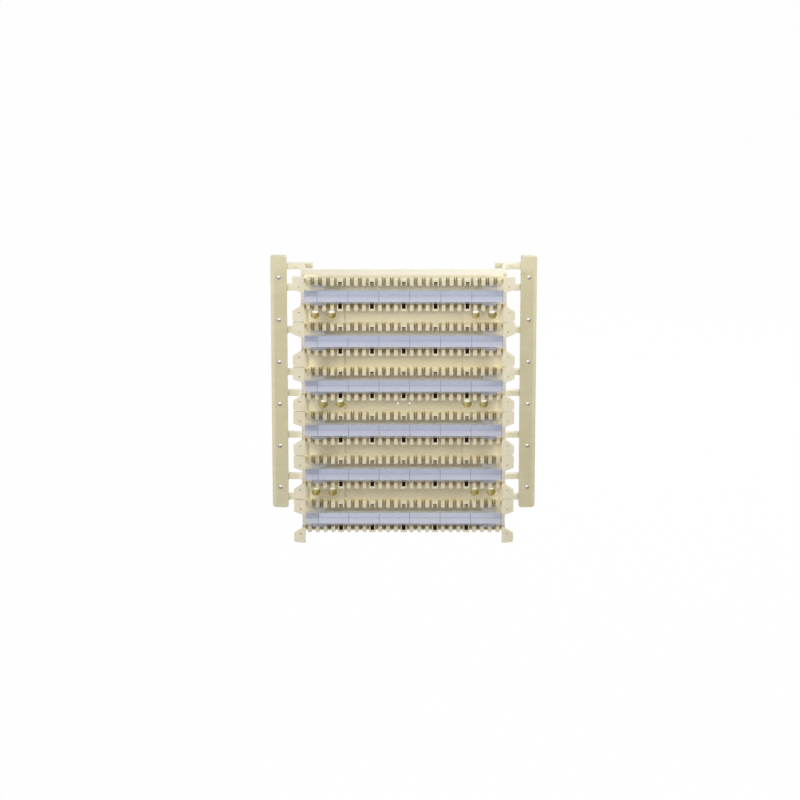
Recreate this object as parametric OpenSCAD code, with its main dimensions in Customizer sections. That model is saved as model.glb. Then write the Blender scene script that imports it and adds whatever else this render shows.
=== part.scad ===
// Punch-down wiring block with legs: a moulded base with rows of comb teeth,
// two stand-off legs, and a clear label holder with its paper strip in each group.
// Every piece is drawn face-on (x right, y up, z out of the wall) and then
// stood upright, so that the wall is the plane y = 0 and the front faces -y.

/* [Rows of teeth] */
// Label groups on the block, each with a row of teeth above and below its label
group_count = 6; // [4:2:8]
// Distance from one label group to the next
group_pitch = 45.72; // [45.5:0.02:52]
// Pairs of wires in one row
pair_count = 25; // [17:2:25]
// Distance from one pair to the next
pair_pitch = 7.62; // [7.4:0.02:8.4]
// Distance from a group's middle line to each of its two rows
row_offset = 12.85; // [12.4:0.05:13.4]
// Thickness of a row of teeth, up and down
row_thickness = 6.1; // [5:0.1:6.8]
// Width of a tooth at its root
tooth_w = 4.3; // [3.6:0.1:4.6]
// Width of a tooth at its tip
tooth_tip_w = 3.5; // [2.6:0.1:3.6]
// Width of the low divider between the two wires of a pair
divider_w = 1.2; // [0.8:0.1:1.4]
// How far the low dividers stay below the tooth tips
divider_drop = 2.6; // [1.5:0.1:4]
// Pairs from one marked tooth to the next
mark_step = 4; // [2:1:5]
// Marked teeth on each side of the middle one
marks_per_side = 2; // [0:1:2]
// Width of a marked tooth
mark_tooth_w = 6.6; // [6.2:0.1:7]
// Width of the square pocket in a marked tooth
mark_pocket_w = 3.6; // [2.6:0.1:4.2]
// Height of the square pocket in a marked tooth
mark_pocket_h = 4.2; // [3:0.1:4.4]
// How far the pockets sit towards the label, so that they open on that side
mark_shift = 1.3; // [1:0.1:1.6]

/* [Distances from the wall] */
// Back edge of the base, which rests on the legs
base_back = 46; // [36:0.5:48]
// Floor of the wire troughs
trough_floor = 62.5; // [61:0.5:65]
// Tips of the teeth
tooth_tip = 72; // [70:0.5:73]
// Front face of the label holders
label_front = 76.8; // [75.8:0.1:78]
// Front face of the wire-retaining fingers
finger_front = 84; // [80:0.5:88]

/* [Base tray] */
// Thickness of the floor and the walls
wall = 2.4; // [1.8:0.1:3]
// Width of the solid side rails that the legs and the finger posts stand in
side_rail_w = 3.4; // [3.2:0.1:5]
// Front face of the side rails, below the trough floor
side_rail_drop = 4.5; // [2:0.5:6]
// Strip of floor above the first row and below the last one
floor_margin = 1.6; // [0.8:0.1:4]
// Thickness of the ribs under the floor
rib_t = 1.8; // [1.2:0.1:2.4]
// Height of the ribs behind the floor
rib_h = 10; // [6:0.5:12]
// Height of the lip that closes each trough at both ends
end_lip_h = 1.5; // [0.5:0.1:3]
// Length of each raised floor pad at the ends of a trough
end_pad_len = 38; // [34:1:44]
// Depth of the sunken middle of a trough floor
floor_sink = 1; // [0.4:0.1:1.2]

/* [Cable holes] */
// Diameter of the cable holes in every other trough
cable_hole_d = 8.6; // [6:0.1:9]
// Distance between the two holes of a pair of cable holes
cable_hole_gap = 16; // [14:0.5:18]
// Distance from the middle line to each pair of cable holes
cable_hole_x = 77.2; // [76:0.2:78]
// How far in the pairs of holes sit in the middle trough
middle_shift = 7.62; // [4:0.02:9]
// Diameter of the boss round each cable hole
boss_d = 12; // [11:0.1:12.6]
// Height of the boss rim above the trough floor
boss_rim = 0.5; // [0.3:0.1:1]
// Diameter of the two pilot holes in the middle trough
pilot_d = 2; // [1.6:0.1:3]
// Distance between the two pilot holes
pilot_gap = 11.6; // [8:0.1:20]

/* [Fingers] */
// How far the fingers stand out sideways from the base
finger_out = 7.8; // [5:0.1:9]
// Distance from a group's middle line to the near edge of its fingers
finger_near = 7.4; // [7.2:0.05:8.4]
// Clear slit between the fingers of two neighbouring groups
finger_slit = 1.6; // [1:0.1:3]
// Thickness of the finger heads
finger_t = 3.4; // [2.4:0.1:4.5]
// How far the outer edge of a finger slopes back
finger_slope = 2.4; // [0.5:0.1:3]
// Cut corner of the lower fingers, beside the label
low_corner = 6; // [2:0.1:6.5]
// Cut corner of the upper fingers, beside the label
high_corner = 2.4; // [1:0.1:4]
// Rounded corner at the free tip of each finger
finger_tip_r = 1.8; // [0.8:0.1:2.6]
// Thickness of the post under each finger head
post_t = 3.4; // [2.4:0.1:5]
// Side of the small square dimple in each finger head
dimple = 1.4; // [0.8:0.1:2]

/* [Label holders] */
// Height of the front plate of a label holder
label_h = 13.4; // [12.6:0.1:13.8]
// How far the holder stands out past each end of the rows
label_overhang = 3.2; // [1:0.1:4]
// Thickness of the clear front plate
label_plate_t = 1.4; // [1:0.1:1.8]
// Thickness of the holder's edges, lips and snap legs
label_wall = 1; // [0.8:0.1:1.2]
// Clear space between the front plate and the lips
label_slot = 1.2; // [0.8:0.1:1.6]
// How far the lips reach in behind the paper
label_lip = 1.6; // [1:0.1:2.4]
// Width of the snap legs that stand on the trough floor
snap_leg_w = 12.8; // [8:0.1:16]
// Distance from the middle line to each snap leg
snap_leg_x = 82.4; // [70:0.1:84]
// Clearance between a snap leg and the row beside it
snap_clearance = 0.3; // [0.2:0.05:0.5]
// Thickness of the paper strip
paper_t = 0.3; // [0.15:0.05:0.5]
// Clearance above and below the paper strip in its holder
paper_clearance = 0.25; // [0.1:0.05:0.6]

/* [Legs] */
// Distance from one wall screw to the next
hole_pitch = 43.76; // [43:0.02:52]
// Distance from the last wall screw to the end of a leg's rail
rail_end = 21.3; // [18:0.1:26]
// Width of the rail on the wall
rail_w = 15.9; // [13:0.1:20]
// Thickness of the rail on the wall
rail_t = 6; // [4.5:0.1:8]
// Clear gap between the side of the base and the rail
rail_gap = 14.8; // [12:0.1:24]
// Diameter of the wall screw holes
screw_hole_d = 4.2; // [3.4:0.1:5.5]
// Bevel along the rail's outer edge, sideways
rail_bevel_w = 3.2; // [1:0.1:4]
// Bevel along the rail's outer edge, outwards from the wall
rail_bevel_t = 2.4; // [0.8:0.1:3]
// Rounded corners of the rail
rail_r = 2.4; // [1:0.1:4]
// Height of each arm that joins the rail to the leg's posts
arm_h = 5.4; // [4.5:0.1:7]
// Thickness of the arms on the wall
arm_t = 5; // [3:0.1:5.5]
// Radius of the bend from an arm to its post
arm_r = 6; // [4:0.1:8]
// Height of the beam that joins the posts under the base
beam_h = 6; // [4:0.1:9]
// Length of the feet that point inwards at both ends of a leg
foot_len = 7; // [3:0.1:12]
// Thickness of the feet
foot_t = 2.4; // [1.6:0.1:3]
// Length of the tongues that snap into the base
tongue_len = 7; // [4:0.5:8]
// Thickness of the tongues
tongue_t = 1.8; // [1.4:0.1:2.2]
// Clearance round each tongue in its socket
tongue_clearance = 0.2; // [0.1:0.05:0.3]

/* [Hidden] */
$fn = 48;

ivory = [0.90, 0.85, 0.70];
leg_ivory = [0.84, 0.79, 0.65];
clear_blue = [0.72, 0.76, 0.86, 0.35];
paper_blue = [0.80, 0.82, 0.90];

// Past every surface that a cut goes through
cut = 1;

// Sizes of the base
half_row = pair_count * pair_pitch / 2;
half_span = (group_count - 1) / 2 * group_pitch;
row_edge = row_offset + row_thickness / 2;
row_inner = row_offset - row_thickness / 2;
half_tray = half_span + row_edge + floor_margin;
floor_back = trough_floor - wall;
side_rail_front = trough_floor - side_rail_drop;
side_x = half_row + side_rail_w;
mid_half = half_row - end_pad_len;
trough_h = group_pitch - 2 * row_edge;

// Sizes of the fingers
finger_far = group_pitch / 2 - finger_slit / 2;
finger_x = side_x + finger_out;

// Sizes of the label holders
half_label = half_row + label_overhang;
plate_back = label_front - label_plate_t;
lip_front = plate_back - label_slot;
holder_back = lip_front - label_wall;
slot_half_h = label_h / 2 - label_wall;
leg_half_h = row_inner - snap_clearance;

// Sizes of the legs
rail_inner = side_x + rail_gap;
rail_outer = rail_inner + rail_w;
half_rail = (group_count - 1) / 2 * hole_pitch + rail_end;
quarter = hole_pitch / 4;
tongue_x = half_row + side_rail_w / 2;

// Middle lines of the label groups, of the troughs and of the rows
function group_y(i) = half_span - i * group_pitch;
function trough_y(i) = half_span - (i + 0.5) * group_pitch;
row_ys = [for (i = [0 : group_count - 1]) for (s = [1, -1]) group_y(i) + s * row_offset];

// Wall screws of one leg, from the top down
screw_ys = [for (i = [0 : group_count - 1]) ((group_count - 1) / 2 - i) * hole_pitch];

// Arms of one leg: one on the inner side of each screw, and one past each end screw
arm_ys = concat([screw_ys[0] + quarter],
                [for (y = screw_ys) y - sign(y) * quarter],
                [screw_ys[group_count - 1] - quarter]);

// Teeth are numbered from the middle one, so that the marked ones are even about it
half_pairs = (pair_count - 1) / 2;
function is_marked(i) = i % mark_step == 0 && abs(i) <= marks_per_side * mark_step;
function root_w(i) = is_marked(i) ? mark_tooth_w : tooth_w;
function tip_w(i) = root_w(i) - (tooth_w - tooth_tip_w);

// A divider stands between two plain teeth, where there is room for both wires
function has_divider(i) = i < half_pairs && !is_marked(i) && !is_marked(i + 1);

tooth_root = trough_floor + 1;

function tooth_points(i) = [
    [i * pair_pitch - root_w(i) / 2, tooth_root],
    [i * pair_pitch - tip_w(i) / 2, tooth_tip],
    [i * pair_pitch + tip_w(i) / 2, tooth_tip],
    [i * pair_pitch + root_w(i) / 2, tooth_root]
];

function divider_points(i) = [
    [(i + 0.5) * pair_pitch - divider_w / 2, tooth_root],
    [(i + 0.5) * pair_pitch, tooth_tip - divider_drop],
    [(i + 0.5) * pair_pitch + divider_w / 2, tooth_root]
];

comb_points = concat(
    [[-half_row, floor_back], [-half_row, tooth_root]],
    [for (i = [-half_pairs : half_pairs])
        each concat(tooth_points(i), has_divider(i) ? divider_points(i) : [])],
    [[half_row, tooth_root], [half_row, floor_back]]
);

// Stands a piece that was drawn face-on upright against the wall
module upright() {
    rotate([90, 0, 0]) children();
}

// Draws a piece on the right and again, mirrored, on the left
module both_sides() {
    children();
    mirror([1, 0, 0]) children();
}

// A box between two opposite corners
module block(from, to) {
    translate(from) cube(to - from);
}

// Extrudes a profile in x and z along y, centred on y = 0
module along_y(length) {
    translate([0, length / 2, 0]) rotate([90, 0, 0]) linear_extrude(length) children();
}

// Extrudes a profile in y and z along x, centred on x = 0
module along_x(length) {
    translate([-length / 2, 0, 0]) rotate([90, 0, 90]) linear_extrude(length) children();
}

// One row of teeth with its slots
module comb_row() {
    along_y(row_thickness) polygon(comb_points);
}

// Square pockets in the marked teeth of the two rows of one group
module mark_pockets() {
    for (i = [-marks_per_side : marks_per_side], s = [1, -1])
        translate([i * mark_step * pair_pitch - mark_pocket_w / 2,
                   s * (row_offset - mark_shift) - mark_pocket_h / 2, tooth_root])
            cube([mark_pocket_w, mark_pocket_h, tooth_tip - tooth_root + cut]);
}

// The floor plate with its outer walls and side rails
module tray_shell() {
    block([-half_row, -half_tray, floor_back], [half_row, half_tray, trough_floor]);
    for (s = [1, -1])
        translate([0, s * (half_tray - wall / 2), 0])
            block([-half_row, -wall / 2, base_back], [half_row, wall / 2, floor_back + wall / 2]);
    both_sides() {
        block([half_row - wall, -half_tray, base_back], [half_row, half_tray, floor_back + wall / 2]);
        block([half_row - wall / 2, -half_tray, base_back], [side_x, half_tray, side_rail_front]);
    }
}

// The grid of ribs behind the floor plate
module tray_ribs() {
    rib_back = floor_back - rib_h;
    rib_front = floor_back + wall / 2;
    for (y = row_ys)
        block([-half_row + wall / 2, y - rib_t / 2, rib_back],
              [half_row - wall / 2, y + rib_t / 2, rib_front]);
    for (x = [-half_row / 2, 0, half_row / 2])
        block([x - rib_t / 2, -half_tray + wall / 2, rib_back],
              [x + rib_t / 2, half_tray - wall / 2, rib_front]);
}

// Middles of the cable holes, two pairs in every other trough
function hole_shift(i) = abs(trough_y(i)) < group_pitch / 4 ? middle_shift : 0;
cable_holes = [for (i = [0 : 2 : group_count - 2]) for (s = [1, -1]) for (t = [1, -1])
    [s * (cable_hole_x - hole_shift(i) + t * cable_hole_gap / 2), trough_y(i)]];

// Tubes that carry the cable holes from the floor to the back of the base
module cable_bosses() {
    for (p = cable_holes)
        translate([p.x, p.y, base_back]) cylinder(d = boss_d, h = trough_floor + boss_rim - base_back);
}

module cable_bores() {
    for (p = cable_holes)
        translate([p.x, p.y, base_back - cut])
            cylinder(d = cable_hole_d, h = trough_floor + boss_rim - base_back + 2 * cut);
    for (s = [1, -1])
        translate([s * pilot_gap / 2, 0, floor_back - cut])
            cylinder(d = pilot_d, h = wall + 2 * cut);
}

// The sunken middle and the end lips of each trough
module trough_sinks() {
    for (i = [0 : group_count - 2])
        translate([0, trough_y(i), 0])
            block([-mid_half, -trough_h / 2 + 1, trough_floor - floor_sink],
                  [mid_half, trough_h / 2 - 1, trough_floor + cut]);
}

module trough_lips() {
    for (i = [0 : group_count - 2])
        translate([0, trough_y(i), 0])
            both_sides()
                block([half_row - 1.8, -trough_h / 2 - wall / 2, floor_back],
                      [half_row, trough_h / 2 + wall / 2, trough_floor + end_lip_h]);
}

// Outline of one finger head above the group's middle line, on the right-hand side
module finger_outline(corner) {
    difference() {
        union() {
            polygon([[half_row, finger_near],
                     [side_x, finger_near],
                     [finger_x, finger_near + corner],
                     [finger_x, finger_far - finger_tip_r],
                     [finger_x - finger_tip_r, finger_far],
                     [half_row, finger_far]]);
            translate([finger_x - finger_tip_r, finger_far - finger_tip_r]) circle(finger_tip_r);
        }
        translate([side_x + dimple, row_offset]) square(dimple, center = true);
    }
}

// The fingers of one group on the right-hand side, flat on their outline
module finger_pair_outline() {
    finger_outline(high_corner);
    mirror([0, 1]) finger_outline(low_corner);
}

// Profile of the finger heads, which slope back to their outer edge
module finger_profile() {
    polygon([[half_row - cut, finger_front - finger_t],
             [side_x, finger_front - finger_t],
             [finger_x + cut, finger_front - finger_t - finger_slope],
             [finger_x + cut, finger_front - finger_slope],
             [side_x, finger_front],
             [half_row - cut, finger_front]]);
}

module fingers() {
    head_back = finger_front - finger_t - finger_slope;
    both_sides() {
        intersection() {
            translate([0, 0, head_back - cut]) linear_extrude(finger_t + finger_slope + 2 * cut)
                for (i = [0 : group_count - 1])
                    translate([0, group_y(i)]) finger_pair_outline();
            along_y(2 * half_tray + group_pitch) finger_profile();
        }
        for (y = row_ys)
            block([half_row, y - post_t / 2, side_rail_front - wall],
                  [side_x, y + post_t / 2, finger_front - finger_t / 2]);
    }
}

// Sockets in the side rails for the tongues of the legs
module leg_sockets() {
    both_sides()
        for (y = arm_ys)
            translate([tongue_x, y, base_back - cut])
                block([-tongue_t / 2 - tongue_clearance, -arm_h / 2 - tongue_clearance, 0],
                      [tongue_t / 2 + tongue_clearance, arm_h / 2 + tongue_clearance,
                       cut + tongue_len + tongue_clearance]);
}

// The moulded base: tray, rows of teeth, troughs and fingers in one piece
module wiring_base() {
    upright() color(ivory) difference() {
        union() {
            tray_shell();
            tray_ribs();
            trough_lips();
            cable_bosses();
            for (y = row_ys) translate([0, y, 0]) comb_row();
            fingers();
        }
        trough_sinks();
        cable_bores();
        for (i = [0 : group_count - 1]) translate([0, group_y(i), 0]) mark_pockets();
        leg_sockets();
    }
}

// Face-on outline of a leg's rail
module rail_outline() {
    translate([rail_inner + rail_r, -half_rail]) square([rail_w - 2 * rail_r, 2 * half_rail]);
    translate([rail_inner, -half_rail + rail_r]) square([rail_w, 2 * half_rail - 2 * rail_r]);
    for (x = [rail_inner + rail_r, rail_outer - rail_r], s = [1, -1])
        translate([x, s * (half_rail - rail_r)]) circle(rail_r);
}

// Section of the rail, with a bevel along its outer edge
module rail_section() {
    polygon([[rail_inner - cut, 0],
             [rail_inner - cut, rail_t],
             [rail_outer - rail_bevel_w, rail_t],
             [rail_outer, rail_t - rail_bevel_t],
             [rail_outer, 0]]);
}

// Profile of an arm: flat on the wall, then bent forward into a post
module arm_profile() {
    post_in = half_row;
    bend = arm_r + side_rail_w;
    difference() {
        union() {
            translate([post_in, 0]) square([rail_inner + rail_r - post_in, arm_t]);
            translate([post_in, 0]) square([side_rail_w, base_back]);
            translate([side_x, arm_t]) square(arm_r);
        }
        translate([side_x + arm_r, arm_t + arm_r]) circle(arm_r);
        difference() {
            translate([post_in - cut, -cut]) square(bend + cut);
            translate([post_in + bend, bend]) circle(bend);
        }
    }
}

// A leg on the right-hand side
module leg() {
    rail_x = rail_inner + rail_w / 2;
    difference() {
        intersection() {
            linear_extrude(rail_t) rail_outline();
            along_y(2 * half_rail + cut) rail_section();
        }
        for (y = screw_ys) translate([rail_x, y, -cut]) cylinder(d = screw_hole_d, h = rail_t + 2 * cut);
    }
    for (y = arm_ys) translate([0, y, 0]) {
        along_y(arm_h) arm_profile();
        block([tongue_x - tongue_t / 2, -arm_h / 2, base_back - beam_h / 2],
              [tongue_x + tongue_t / 2, arm_h / 2, base_back + tongue_len]);
    }
    for (y = [arm_ys[0], arm_ys[len(arm_ys) - 1]]) translate([0, y, 0])
        block([half_row - foot_len, -arm_h / 2, 0], [side_x + arm_r, arm_h / 2, foot_t]);
    block([half_row, arm_ys[len(arm_ys) - 1] - arm_h / 2, base_back - beam_h],
          [side_x, arm_ys[0] + arm_h / 2, base_back]);
}

module right_leg() {
    upright() color(leg_ivory) leg();
}

module left_leg() {
    upright() color(leg_ivory) mirror([1, 0, 0]) leg();
}

// Section of a label holder: front plate, edges and lips, open along the back
module holder_section() {
    half = label_h / 2;
    inner = slot_half_h;
    difference() {
        translate([-half, holder_back]) square([label_h, label_front - holder_back]);
        translate([-inner, lip_front]) square([2 * inner, label_slot]);
        translate([-inner + label_lip, holder_back - cut])
            square([2 * (inner - label_lip), label_wall + 2 * cut]);
        translate([0, label_front]) rotate(45) square(label_wall / 2, center = true);
    }
}

// A clear holder, whose snap legs stand on the floor between its two rows
module label_holder(i) {
    upright() color(clear_blue) translate([0, group_y(i), 0]) {
        along_x(2 * half_label) holder_section();
        for (x = [-snap_leg_x, snap_leg_x], s = [1, -1]) {
            y_out = s * leg_half_h;
            y_in = s * (leg_half_h - label_wall);
            block([x - snap_leg_w / 2, min(y_out, y_in), trough_floor],
                  [x + snap_leg_w / 2, max(y_out, y_in), plate_back]);
            block([x - snap_leg_w / 2, min(y_out, s * slot_half_h), plate_back - label_wall],
                  [x + snap_leg_w / 2, max(y_out, s * slot_half_h), plate_back]);
        }
    }
}

// A paper strip, flat against the back of its holder's front plate
module label_strip(i) {
    half_h = slot_half_h - paper_clearance;
    upright() color(paper_blue) translate([0, group_y(i), 0])
        block([-half_row, -half_h, plate_back - paper_t], [half_row, half_h, plate_back]);
}

wiring_base();
left_leg();
right_leg();
label_holder(0);  // label_holder_1
label_holder(1);  // label_holder_2
label_holder(2);  // label_holder_3
label_holder(3);  // label_holder_4
label_holder(4);  // label_holder_5
label_holder(5);  // label_holder_6
label_strip(0);  // label_strip_1
label_strip(1);  // label_strip_2
label_strip(2);  // label_strip_3
label_strip(3);  // label_strip_4
label_strip(4);  // label_strip_5
label_strip(5);  // label_strip_6
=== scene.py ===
import math

import bpy
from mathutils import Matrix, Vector


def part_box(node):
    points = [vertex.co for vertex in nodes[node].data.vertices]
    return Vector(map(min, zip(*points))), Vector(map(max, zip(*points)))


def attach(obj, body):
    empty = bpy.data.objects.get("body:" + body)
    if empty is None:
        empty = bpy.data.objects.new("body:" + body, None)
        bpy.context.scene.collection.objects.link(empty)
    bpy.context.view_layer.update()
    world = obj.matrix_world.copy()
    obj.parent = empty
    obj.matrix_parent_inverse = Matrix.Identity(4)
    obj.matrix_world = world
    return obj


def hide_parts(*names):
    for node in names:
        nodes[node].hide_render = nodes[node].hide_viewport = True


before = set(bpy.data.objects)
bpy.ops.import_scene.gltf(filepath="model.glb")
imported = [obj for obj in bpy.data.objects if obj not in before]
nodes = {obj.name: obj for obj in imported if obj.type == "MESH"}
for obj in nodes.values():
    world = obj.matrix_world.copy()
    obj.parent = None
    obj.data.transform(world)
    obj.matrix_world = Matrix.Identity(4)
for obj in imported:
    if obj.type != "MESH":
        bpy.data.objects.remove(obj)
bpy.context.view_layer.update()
scene = bpy.context.scene

MM = 0.001
GROUPS = 6
GROUP_PITCH = 45.72 * MM
MARK_PITCH = 30.48 * MM
HOLE_PITCH = 43.76 * MM
SCREW_X = 121.4 * MM
CABLE_HOLE_GAP = 16 * MM
CELL_W = 29.6 * MM
FIRST_CELL_X = -83.0 * MM


# ---------------------------------------------------------------- camera

def make_camera():
    data = bpy.data.cameras.new("camera")
    data.lens = 208.4
    data.sensor_width = 36
    data.clip_start = 0.1
    data.clip_end = 60
    cam = bpy.data.objects.new("camera", data)
    scene.collection.objects.link(cam)
    target = Vector((-0.0036, -0.040, -0.0046))
    tilt = math.radians(20.7)
    back = Vector((0, -math.cos(tilt), math.sin(tilt)))
    cam.location = target + back * 4.5
    cam.rotation_mode = "QUATERNION"
    cam.rotation_quaternion = (-back).to_track_quat("-Z", "Y")
    scene.camera = cam


make_camera()


# ---------------------------------------------------------------- node helpers

class Graph:
    """Short names for building a material's nodes."""

    def __init__(self, tree):
        self.tree = tree
        self.tree.nodes.clear()

    def add(self, kind, inputs=None, **settings):
        node = self.tree.nodes.new(kind)
        for name, value in settings.items():
            setattr(node, name, value)
        for name, value in (inputs or {}).items():
            self.put(node.inputs[name], value)
        return node

    def put(self, socket, value):
        if hasattr(value, "is_output"):
            self.tree.links.new(value, socket)
        elif isinstance(value, bpy.types.Node):
            self.tree.links.new(value.outputs[0], socket)
        else:
            socket.default_value = value

    def math(self, operation, a, b=None, c=None, clamp=False):
        node = self.add("ShaderNodeMath", operation=operation, use_clamp=clamp)
        for i, value in enumerate((a, b, c)):
            if value is not None:
                self.put(node.inputs[i], value)
        return node.outputs[0]

    def mix(self, factor, a, b, blend="MIX"):
        node = self.add("ShaderNodeMix", data_type="RGBA", blend_type=blend)
        self.put(node.inputs[0], factor)
        self.put(node.inputs[6], a)
        self.put(node.inputs[7], b)
        return node.outputs[2]

    def ramp(self, value, low, high, a=0.0, b=1.0):
        node = self.add("ShaderNodeMapRange", {"Value": value, "From Min": low, "From Max": high,
                                               "To Min": a, "To Max": b})
        node.clamp = True
        return node.outputs[0]

    def noise(self, vector, scale, detail=2.0, roughness=0.5):
        node = self.add("ShaderNodeTexNoise", {"Vector": vector, "Scale": scale, "Detail": detail,
                                               "Roughness": roughness})
        return node.outputs[0]

    def place(self):
        coord = self.add("ShaderNodeTexCoord").outputs["Object"]
        split = self.add("ShaderNodeSeparateXYZ", {0: coord})
        return coord, split.outputs[0], split.outputs[1], split.outputs[2]


def new_material(name):
    mat = bpy.data.materials.new(name)
    mat.use_nodes = True
    return mat, Graph(mat.node_tree)


def linear(r, g, b):
    """An sRGB colour, 0 to 255, as the linear colour that a shader takes."""
    def channel(v):
        v /= 255
        return v / 12.92 if v <= 0.04045 else ((v + 0.055) / 1.055) ** 2.4
    return (channel(r), channel(g), channel(b), 1.0)


# ---------------------------------------------------------------- materials

def moulded_plastic(name, colour, shade, edge_colour, details, radius=0.00035):
    """Satin moulded plastic: cloudy colour, fine grain, flow lines and rounded edges, whose colour is lightened
    as slight rub wear and as a painted edge highlight.

    details adds the marks of one piece, and its painted light and shade, to the colour, and says where the
    surface is dull."""
    mat, g = new_material(name)
    coord, x, y, z = g.place()
    cloud = g.noise(coord, 28, 4, 0.55)
    speck = g.noise(coord, 900, 2, 0.6)
    stretch = g.add("ShaderNodeMapping", {"Vector": coord, "Scale": (0.25, 1.0, 1.0)})
    flow = g.noise(stretch.outputs[0], 160, 3, 0.6)
    colour_mix = g.mix(g.ramp(cloud, 0.35, 0.7), colour, shade)
    colour_mix = g.mix(g.ramp(flow, 0.45, 0.75, 0.0, 0.25), colour_mix, edge_colour)
    bevel = g.add("ShaderNodeBevel", {"Radius": radius}, samples=4)
    geometry = g.add("ShaderNodeNewGeometry")
    facing = g.add("ShaderNodeVectorMath", {0: bevel.outputs[0], 1: geometry.outputs["Normal"]},
                   operation="DOT_PRODUCT")
    # Painted edge highlight, partly rub wear: every edge found by the bevel is lightened towards edge_colour.
    rub_and_highlight = g.ramp(facing.outputs["Value"], 0.995, 0.9, 0.0, 0.45)
    colour_mix = g.mix(rub_and_highlight, colour_mix, edge_colour)
    colour_mix, dull = details(g, colour_mix, x, y, z)
    grain = g.noise(coord, 2600, 2, 0.5)
    height = g.math("ADD", g.math("MULTIPLY", grain, 0.35), g.math("MULTIPLY", flow, 0.4))
    bump = g.add("ShaderNodeBump", {"Strength": 0.25, "Distance": 0.00006, "Height": height,
                                    "Normal": bevel.outputs[0]})
    rough = g.ramp(speck, 0.3, 0.7, 0.42, 0.56)
    shine = g.ramp(dull, 0.0, 1.0, 0.4, 0.1)
    bsdf = g.add("ShaderNodeBsdfPrincipled", {"Base Color": colour_mix, "Roughness": rough, "IOR": 1.5,
                                              "Normal": bump.outputs[0], "Specular IOR Level": shine})
    g.add("ShaderNodeOutputMaterial", {"Surface": bsdf.outputs[0]})
    return mat


def within(g, value, low, high):
    """1 where value lies between low and high."""
    return g.math("MULTIPLY", g.math("GREATER_THAN", value, low), g.math("LESS_THAN", value, high))


def wrapped(g, value, pitch, middle=0.0):
    """Distance to the nearest of the lines that lie a pitch apart, one of them at middle."""
    if middle:
        value = g.math("SUBTRACT", value, middle)
    return g.math("ABSOLUTE", g.math("WRAP", value, pitch / 2, -pitch / 2))


def near(g, across, along, radius):
    """1 inside a circle, from the two distances to its middle."""
    square = g.math("ADD", g.math("MULTIPLY", across, across), g.math("MULTIPLY", along, along))
    return g.math("LESS_THAN", square, radius * radius)


def slots(g, y, from_group):
    """1 on the floors and sides of the slots between the teeth."""
    row = within(g, from_group, 9.8 * MM, 15.9 * MM)
    return g.math("MULTIPLY", row, within(g, y, -71.5 * MM, -63.2 * MM))


def slot_light_and_shade(g, z):
    """Painted light and shade for the slots: paler above each label than below it, lightest in the top row and
    darkest in the bottom row.
    """
    above = g.math("WRAP", g.math("SUBTRACT", z, GROUP_PITCH / 2), GROUP_PITCH / 2, -GROUP_PITCH / 2)
    above = g.ramp(above, -5 * MM, 5 * MM)
    painted_slot_light = g.mix(g.ramp(z, 122 * MM, 125 * MM), linear(255, 242, 202), linear(255, 250, 214))
    painted_slot_shade = g.mix(g.ramp(z, -125 * MM, -122 * MM), linear(184, 168, 138), linear(224, 206, 166))
    return g.mix(above, painted_slot_shade, painted_slot_light)


def marks(g, x, y, from_group):
    """1 in the pockets of the marked teeth."""
    column = g.math("LESS_THAN", wrapped(g, x, MARK_PITCH), 1.9 * MM)
    inside = within(g, x, -2.5 * MARK_PITCH, 2.5 * MARK_PITCH)
    line = within(g, from_group, 9.4 * MM, 13.7 * MM)
    sunken = within(g, y, -71.7 * MM, -63.2 * MM)
    return g.math("MULTIPLY", g.math("MULTIPLY", column, line), g.math("MULTIPLY", inside, sunken))


def trough_end_light(g, x, y):
    """Painted light on the floors of the troughs: rises from 0 to 1 along them, towards both ends."""
    outward = g.ramp(g.math("ABSOLUTE", x), 78 * MM, 92 * MM)
    return g.math("MULTIPLY", outward, within(g, y, -63.1 * MM, -61 * MM))


def bores(g, x, y, z):
    """1 inside the cable holes, below their rims."""
    across, up = g.math("ABSOLUTE", x), g.math("ABSOLUTE", z)
    holes = []
    for middle, height in ((77.2 * MM, 2 * GROUP_PITCH), (69.58 * MM, 0.0)):
        side = g.math("ABSOLUTE", g.math("SUBTRACT", across, middle))
        side = g.math("SUBTRACT", side, CABLE_HOLE_GAP / 2)
        holes.append(near(g, side, g.math("SUBTRACT", up, height), 4.4 * MM))
    return g.math("MULTIPLY", g.math("MAXIMUM", *holes), g.math("GREATER_THAN", y, -63.4 * MM))


def base_details(g, colour, x, y, z):
    """Paint in the pockets of the marked teeth, painted light and shade in the slots, painted light at the
    trough ends and painted bounce light in the cable holes.
    """
    from_group = wrapped(g, z, GROUP_PITCH, GROUP_PITCH / 2)
    # Painted light and shade in the slots between the teeth.
    colour = g.mix(g.math("MULTIPLY", slots(g, y, from_group), 0.85), colour, slot_light_and_shade(g, z))
    colour = g.mix(marks(g, x, y, from_group), colour, linear(74, 54, 36))
    # Painted light: the trough floors paler towards both ends.
    colour = g.mix(g.math("MULTIPLY", trough_end_light(g, x, y), 0.8), colour, linear(255, 248, 220))
    # Painted bounce light: a warm olive glow on the walls of the cable holes.
    holes = bores(g, x, y, z)
    return g.mix(holes, colour, linear(224, 210, 108)), holes


def leg_details(g, colour, x, y, z):
    """Painted light on the arms, which makes them a little paler than the rails, and painted shade in the screw
    holes.
    """
    across = g.math("ABSOLUTE", x)
    # Painted light: the arms paler than the rails of the same moulding.
    arm_light = g.ramp(across, 114.5 * MM, 112.5 * MM)
    colour = g.mix(g.math("MULTIPLY", arm_light, 0.6), colour, linear(248, 243, 220))
    sideways = g.math("SUBTRACT", across, SCREW_X)
    # Painted shade: a greyer tone in the screw holes.
    hole_shade = near(g, sideways, wrapped(g, z, HOLE_PITCH, HOLE_PITCH / 2), 2.2 * MM)
    return g.mix(hole_shade, colour, linear(196, 176, 170)), hole_shade


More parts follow.
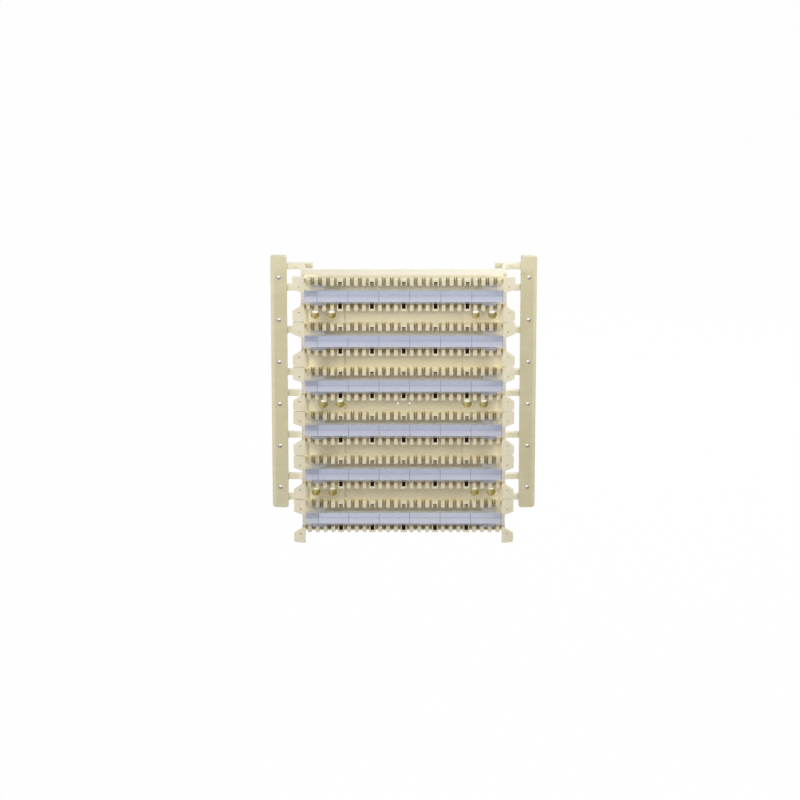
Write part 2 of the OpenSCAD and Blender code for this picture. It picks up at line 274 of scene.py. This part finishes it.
def clear_plastic():
    """Clear glossy plastic with a blue cast, denser where it is seen edge-on."""
    mat, g = new_material("clear_plastic")
    coord = g.place()[0]
    smear = g.noise(coord, 120, 3, 0.6)
    scratch_map = g.add("ShaderNodeMapping", {"Vector": coord, "Scale": (0.05, 1.0, 1.0)})
    scratch = g.noise(scratch_map.outputs[0], 1500, 2, 0.6)
    edge = g.add("ShaderNodeLayerWeight", {"Blend": 0.35}).outputs["Facing"]
    tint = g.mix(edge, linear(222, 227, 244), linear(186, 194, 220))
    alpha = g.ramp(edge, 0.15, 0.95, 0.14, 0.6)
    bump = g.add("ShaderNodeBump", {"Strength": 0.15, "Distance": 0.00003, "Height": scratch})
    rough = g.ramp(smear, 0.35, 0.7, 0.08, 0.2)
    bsdf = g.add("ShaderNodeBsdfPrincipled", {"Base Color": tint, "Roughness": rough, "Alpha": alpha,
                                              "Normal": bump.outputs[0], "IOR": 1.49})
    g.add("ShaderNodeOutputMaterial", {"Surface": bsdf.outputs[0]})
    return mat


def label_paper():
    """Pale blue printed paper: a darker upper half, a middle rule and ruled cells, paler on the lowest strip."""
    mat, g = new_material("label_paper")
    coord, x, _, z = g.place()
    fibre = g.noise(coord, 1400, 3, 0.6)
    wash = g.noise(coord, 45, 2, 0.5)
    from_group = g.math("WRAP", g.math("ADD", z, GROUP_PITCH / 2), GROUP_PITCH / 2, -GROUP_PITCH / 2)
    upper = g.ramp(from_group, 0.3 * MM, 0.8 * MM)
    lowest = g.ramp(z, -100 * MM, -104 * MM, 0.0, 0.7)
    lower_tone = g.mix(g.ramp(from_group, 0.0, -4.5 * MM), linear(226, 227, 240), linear(240, 240, 249))
    colour = g.mix(upper, lower_tone, linear(208, 214, 230))
    colour = g.mix(g.ramp(wash, 0.35, 0.75, 0.0, 0.25), colour, linear(218, 222, 238))
    colour = g.mix(lowest, colour, linear(244, 246, 252))
    from_cell = g.math("WRAP", g.math("SUBTRACT", x, FIRST_CELL_X), CELL_W / 2, -CELL_W / 2)
    rule = within(g, from_cell, -0.3 * MM, 0.3 * MM)
    middle = within(g, from_group, 0.45 * MM, 0.95 * MM)
    lines = g.math("MAXIMUM", g.math("MULTIPLY", rule, 0.85), g.math("MULTIPLY", middle, 0.55))
    colour = g.mix(lines, colour, linear(98, 104, 132))
    first = g.math("MULTIPLY", g.math("LESS_THAN", x, FIRST_CELL_X), upper)
    colour = g.mix(g.math("MULTIPLY", first, 0.35), colour, linear(150, 156, 176))
    colour = g.mix(g.ramp(fibre, 0.4, 0.7, 0.0, 0.1), colour, linear(176, 184, 208))
    bump = g.add("ShaderNodeBump", {"Strength": 0.3, "Distance": 0.00004, "Height": fibre})
    bsdf = g.add("ShaderNodeBsdfPrincipled", {"Base Color": colour, "Roughness": 0.75,
                                              "Normal": bump.outputs[0]})
    g.add("ShaderNodeOutputMaterial", {"Surface": bsdf.outputs[0]})
    return mat


def dress(names, mat):
    for name in names:
        mesh = nodes[name].data
        mesh.materials.clear()
        mesh.materials.append(mat)


base_mat = moulded_plastic("base_plastic", linear(232, 224, 197), linear(227, 218, 190),
                           linear(238, 230, 206), base_details)
leg_mat = moulded_plastic("leg_plastic", linear(219, 212, 179), linear(213, 206, 172),
                          linear(234, 230, 212), leg_details, radius=0.0005)
clear_mat = clear_plastic()
paper_mat = label_paper()
dress(["wiring_base"], base_mat)
dress(["left_leg", "right_leg"], leg_mat)
dress([f"label_holder_{i}" for i in range(1, GROUPS + 1)], clear_mat)


# ---------------------------------------------------------------- pieces

def make_strip(i):
    """The paper strip of one holder, as a thin sheet that stands just clear of its front plate."""
    name = f"label_strip_{i}"
    lo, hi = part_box(name)
    front, back = lo.y + 0.06 * MM, hi.y - 0.04 * MM
    steps = 48
    verts, faces = [], []
    for k in range(steps + 1):
        x = lo.x + (hi.x - lo.x) * k / steps
        bow = 0.03 * MM * math.sin(math.pi * 5 * k / steps)
        for y in (front + bow, back + bow):
            for z in (lo.z, hi.z):
                verts.append((x, y, z))
    for k in range(steps):
        a, b = 4 * k, 4 * k + 4
        faces += [(a, b, b + 1, a + 1), (a + 2, a + 3, b + 3, b + 2),
                  (a, a + 2, b + 2, b), (a + 1, b + 1, b + 3, a + 3)]
    faces += [(0, 1, 3, 2), (4 * steps, 4 * steps + 2, 4 * steps + 3, 4 * steps + 1)]
    mesh = bpy.data.meshes.new(f"paper_{i}")
    mesh.from_pydata(verts, [], faces)
    mesh.materials.append(paper_mat)
    piece = bpy.data.objects.new(f"paper_{i}", mesh)
    scene.collection.objects.link(piece)
    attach(piece, "root")
    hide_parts(name)


for i in range(1, GROUPS + 1):
    make_strip(i)


# ---------------------------------------------------------------- stage and light

def make_floor():
    mat, g = new_material("floor")
    path = g.add("ShaderNodeLightPath")
    seen = g.math("MAXIMUM", path.outputs["Is Camera Ray"], path.outputs["Is Glossy Ray"])
    seen = g.math("MAXIMUM", seen, path.outputs["Is Transmission Ray"])
    diffuse = g.add("ShaderNodeBsdfDiffuse", {"Color": (0.95, 0.95, 0.95, 1)})
    glow = g.add("ShaderNodeEmission", {"Color": (1, 1, 1, 1), "Strength": 1.0})
    blend = g.add("ShaderNodeMixShader", {0: g.math("MULTIPLY", seen, 0.98), 1: diffuse.outputs[0],
                                          2: glow.outputs[0]})
    g.add("ShaderNodeOutputMaterial", {"Surface": blend.outputs[0]})
    mesh = bpy.data.meshes.new("floor")
    s = 12.0
    mesh.from_pydata([(-s, -s, -0.5), (s, -s, -0.5), (s, s, -0.5), (-s, s, -0.5)], [], [(0, 1, 2, 3)])
    mesh.materials.append(mat)
    floor = bpy.data.objects.new("floor", mesh)
    scene.collection.objects.link(floor)


def make_world(strength):
    world = bpy.data.worlds.new("world")
    world.use_nodes = True
    scene.world = world
    g = Graph(world.node_tree)
    path = g.add("ShaderNodeLightPath")
    seen = g.math("MAXIMUM", path.outputs["Is Camera Ray"], path.outputs["Is Glossy Ray"])
    seen = g.math("MAXIMUM", seen, path.outputs["Is Transmission Ray"])
    amount = g.math("ADD", strength, g.math("MULTIPLY", seen, 1 - strength))
    back = g.add("ShaderNodeBackground", {"Color": (1, 1, 1, 1), "Strength": amount})
    g.add("ShaderNodeOutputWorld", {"Surface": back.outputs[0]})


def area_light(name, azimuth, elevation, distance, size, level):
    """A round lamp that gives a facing surface at the object the share `level` of full white."""
    target = Vector((0, -0.06, 0))
    a, e = math.radians(azimuth), math.radians(elevation)
    direction = Vector((math.sin(a) * math.cos(e), -math.cos(a) * math.cos(e), math.sin(e)))
    data = bpy.data.lights.new(name, "AREA")
    data.shape = "DISK"
    data.size = size
    data.energy = level * math.pi ** 2 * distance ** 2
    lamp = bpy.data.objects.new(name, data)
    scene.collection.objects.link(lamp)
    lamp.location = target + direction * distance
    lamp.rotation_mode = "QUATERNION"
    lamp.rotation_quaternion = (-direction).to_track_quat("-Z", "Y")
    lamp.visible_camera = False


make_floor()
make_world(0.40)
area_light("left", -60, 18, 1.4, 0.28, 0.26)
area_light("near_left", -58, 32, 0.7, 0.2, 0.20)
area_light("right", 60, 32, 0.7, 0.4, 0.46)
area_light("top", 0, 76, 0.9, 0.5, 0.04)
area_light("back", 165, 20, 1.8, 1.2, 0.40)

scene.view_settings.view_transform = "Standard"
